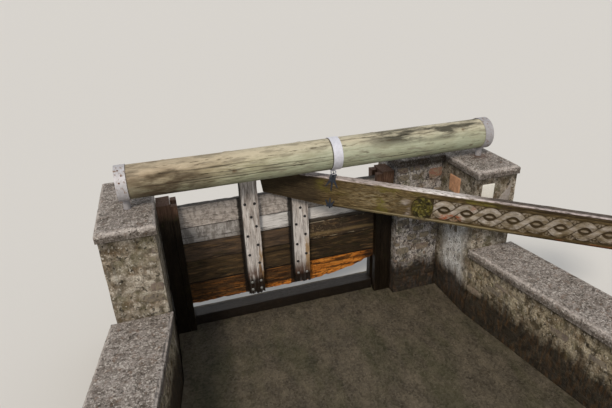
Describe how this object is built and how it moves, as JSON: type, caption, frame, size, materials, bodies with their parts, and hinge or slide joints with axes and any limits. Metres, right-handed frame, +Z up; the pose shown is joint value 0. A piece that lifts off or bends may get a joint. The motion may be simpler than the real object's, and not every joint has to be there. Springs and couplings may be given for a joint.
{
  "type": "sluice gate",
  "caption": "Timber sluice gate between masonry piers: boards on two stiles, a log beam in iron bands, and a carved lifting lever that hangs from the log.",
  "frame": {"origin": "under the middle of the gate's downstream board face, at the underside of the channel floor and walls", "axes": "+X along the gate to the right as seen from downstream, +Y upstream, +Z up"},
  "size_m": [4.8088, 3.045, 2.0819],
  "materials": {
    "channel_bed": "wet rough concrete bed with silt",
    "rubble_masonry": "rough rubble in lime mortar, dark and wet low down",
    "pier_masonry": "rough render with stones and brick showing, lime streaks",
    "weathered_concrete": "pitted concrete with pale arrises and moss",
    "dark_timber": "wet dark oak",
    "peeled_log": "peeled log, weathered, with checks and knots",
    "grey_board": "weathered grey board",
    "pale_board": "bleached board",
    "wet_board": "wet dark board",
    "rotten_board": "wet orange board, rotten at its lower edge",
    "stile_timber": "bleached timber with a dark wet foot",
    "carved_timber": "weathered carved plank with moss and remnants of red paint",
    "galvanised_iron": "dull galvanised with rust spots",
    "forged_iron": "dark forged iron, rusted in places"
  },
  "bodies": {
    "structure": {"floor_slab": "channel_bed", "sill_beam": "dark_timber", "right_gate_wall": "rubble_masonry", "right_gate_wall_cap": "weathered_concrete", "right_pier": "pier_masonry", "right_pier_cap": "weathered_concrete", "left_pier": "pier_masonry", "left_pier_cap": "weathered_concrete", "right_channel_wall": "rubble_masonry", "right_wall_coping": "weathered_concrete", "left_channel_wall": "rubble_masonry", "left_wall_coping": "weathered_concrete", "right_guide_post": "dark_timber", "right_front_batten": "dark_timber", "right_rear_batten": "dark_timber", "left_guide_post": "dark_timber", "left_front_batten": "dark_timber", "left_rear_batten": "dark_timber", "log_beam": "peeled_log", "left_band": "galvanised_iron", "middle_band": "galvanised_iron", "right_band": "galvanised_iron", "left_stub": "galvanised_iron", "right_stub": "galvanised_iron", "ring_link": "galvanised_iron"},
    "gate": {"gate_board_1": "grey_board", "gate_board_2": "pale_board", "gate_board_3": "wet_board", "gate_board_4": "wet_board", "gate_board_5": "rotten_board", "left_stile": "stile_timber", "right_stile": "stile_timber", "lift_bar": "forged_iron"},
    "lever": {"lever_beam": "carved_timber", "eye_bolt": "forged_iron", "upper_claw": "forged_iron", "lower_claw": "forged_iron"}
  },
  "joints": [
    {"name": "gate_slide", "type": "slide", "parent": "structure", "child": "gate", "axis": [0, 0, 1], "range_m": [-0.15, 0.06]},
    {"name": "lever_tilt", "type": "hinge", "parent": "structure", "child": "lever", "pos_m": [0.42, -0.321, 1.7467], "axis": [0.4695, 0.8829, 0], "range_deg": [-14.3, 5.8]}
  ],
  "couplings": [
    {"joint": "lever_tilt", "follows": "gate_slide", "rad_per_m": 1.6345}
  ]
}
